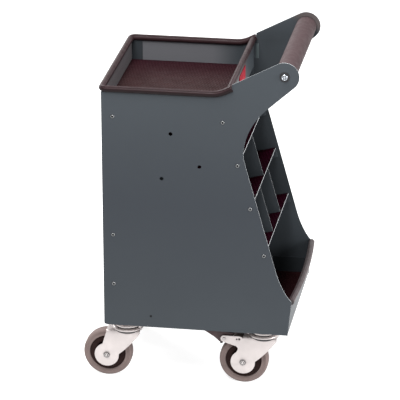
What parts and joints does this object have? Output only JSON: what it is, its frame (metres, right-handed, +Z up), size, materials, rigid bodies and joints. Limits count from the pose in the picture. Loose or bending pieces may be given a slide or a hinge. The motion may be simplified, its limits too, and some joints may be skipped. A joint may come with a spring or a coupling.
{
  "type": "tool cart",
  "caption": "Sheet-metal tool cart with a lined tray, sloping divided shelves, a lined bin, a padded push handle and swivel casters.",
  "frame": {"origin": "on the floor, under the middle of the cart's whole box", "axes": "+X to the open front with the handle, +Y to the right of a person at the handle, +Z up"},
  "size_m": [0.5554, 0.4248, 0.881],
  "materials": {
    "paint": "satin slate grey powder coat",
    "mat": "ribbed dark brown rubber",
    "bead": "matt grey-brown edge bead",
    "grip": "fine foam skin",
    "zinc": "bright zinc plate",
    "tyre": "matt grey rubber",
    "wheel_centre": "moulded",
    "pedal": "moulded",
    "shoe": "moulded",
    "plate": "plain gloss"
  },
  "bodies": {
    "cart": {"side_panel_left": "paint", "side_panel_right": "paint", "back_panel": "paint", "tray_pan": "paint", "tray_mat": "mat", "blank_plate": "plate", "rim_bead": "bead", "tray_front_bead": "bead", "shelf_upper": "paint", "shelf_upper_mat": "mat", "shelf_middle": "paint", "shelf_middle_mat_left": "mat", "shelf_middle_mat_right": "mat", "shelf_lower": "paint", "shelf_lower_mat_left": "mat", "shelf_lower_mat_centre": "mat", "shelf_lower_mat_right": "mat", "divider_middle": "paint", "divider_lower_left": "paint", "divider_lower_right": "paint", "base_pan": "paint", "bin_mat": "mat", "bin_lip": "paint", "bin_lip_mat": "mat", "bin_lip_bead": "bead", "handle_tube": "zinc", "handle_grip": "grip", "handle_bolt_left": "zinc", "handle_bolt_right": "zinc", "caster_plate_front_left": "zinc", "caster_plate_front_right": "zinc", "caster_plate_back_left": "zinc", "caster_plate_back_right": "zinc"},
    "fork_front_left": {"fork_front_left": "zinc", "ball_race_front_left": "zinc", "axle_front_left": "zinc", "brake_pin_front_left": "zinc"},
    "wheel_front_left": {"wheel_centre_front_left": "wheel_centre", "tyre_front_left": "tyre"},
    "brake_front_left": {"brake_pedal_front_left": "pedal", "brake_shoe_front_left": "shoe"},
    "fork_front_right": {"fork_front_right": "zinc", "ball_race_front_right": "zinc", "axle_front_right": "zinc", "brake_pin_front_right": "zinc"},
    "wheel_front_right": {"wheel_centre_front_right": "wheel_centre", "tyre_front_right": "tyre"},
    "brake_front_right": {"brake_pedal_front_right": "pedal", "brake_shoe_front_right": "shoe"},
    "fork_back_left": {"fork_back_left": "zinc", "ball_race_back_left": "zinc", "axle_back_left": "zinc"},
    "wheel_back_left": {"wheel_centre_back_left": "wheel_centre", "tyre_back_left": "tyre"},
    "fork_back_right": {"fork_back_right": "zinc", "ball_race_back_right": "zinc", "axle_back_right": "zinc"},
    "wheel_back_right": {"wheel_centre_back_right": "wheel_centre", "tyre_back_right": "tyre"}
  },
  "joints": [
    {"name": "swivel_front_left", "type": "hinge", "parent": "cart", "child": "fork_front_left", "pos_m": [0.18575, -0.14, 0.145], "axis": [0, 0, 1], "continuous": true},
    {"name": "roll_front_left", "type": "hinge", "parent": "fork_front_left", "child": "wheel_front_left", "pos_m": [0.13475, -0.14, 0.0625], "axis": [0, 1, 0], "continuous": true},
    {"name": "brake_front_left", "type": "hinge", "parent": "fork_front_left", "child": "brake_front_left", "pos_m": [0.08675, -0.14, 0.1245], "axis": [0, -1, 0], "range_deg": [0, 15]},
    {"name": "swivel_front_right", "type": "hinge", "parent": "cart", "child": "fork_front_right", "pos_m": [0.18575, 0.14, 0.145], "axis": [0, 0, 1], "continuous": true},
    {"name": "roll_front_right", "type": "hinge", "parent": "fork_front_right", "child": "wheel_front_right", "pos_m": [0.13475, 0.14, 0.0625], "axis": [0, 1, 0], "continuous": true},
    {"name": "brake_front_right", "type": "hinge", "parent": "fork_front_right", "child": "brake_front_right", "pos_m": [0.08675, 0.14, 0.1245], "axis": [0, -1, 0], "range_deg": [0, 15]},
    {"name": "swivel_back_left", "type": "hinge", "parent": "cart", "child": "fork_back_left", "pos_m": [-0.16425, -0.147, 0.145], "axis": [0, 0, 1], "continuous": true},
    {"name": "roll_back_left", "type": "hinge", "parent": "fork_back_left", "child": "wheel_back_left", "pos_m": [-0.21525, -0.147, 0.0625], "axis": [0, 1, 0], "continuous": true},
    {"name": "swivel_back_right", "type": "hinge", "parent": "cart", "child": "fork_back_right", "pos_m": [-0.16425, 0.147, 0.145], "axis": [0, 0, 1], "continuous": true},
    {"name": "roll_back_right", "type": "hinge", "parent": "fork_back_right", "child": "wheel_back_right", "pos_m": [-0.21525, 0.147, 0.0625], "axis": [0, 1, 0], "continuous": true}
  ]
}
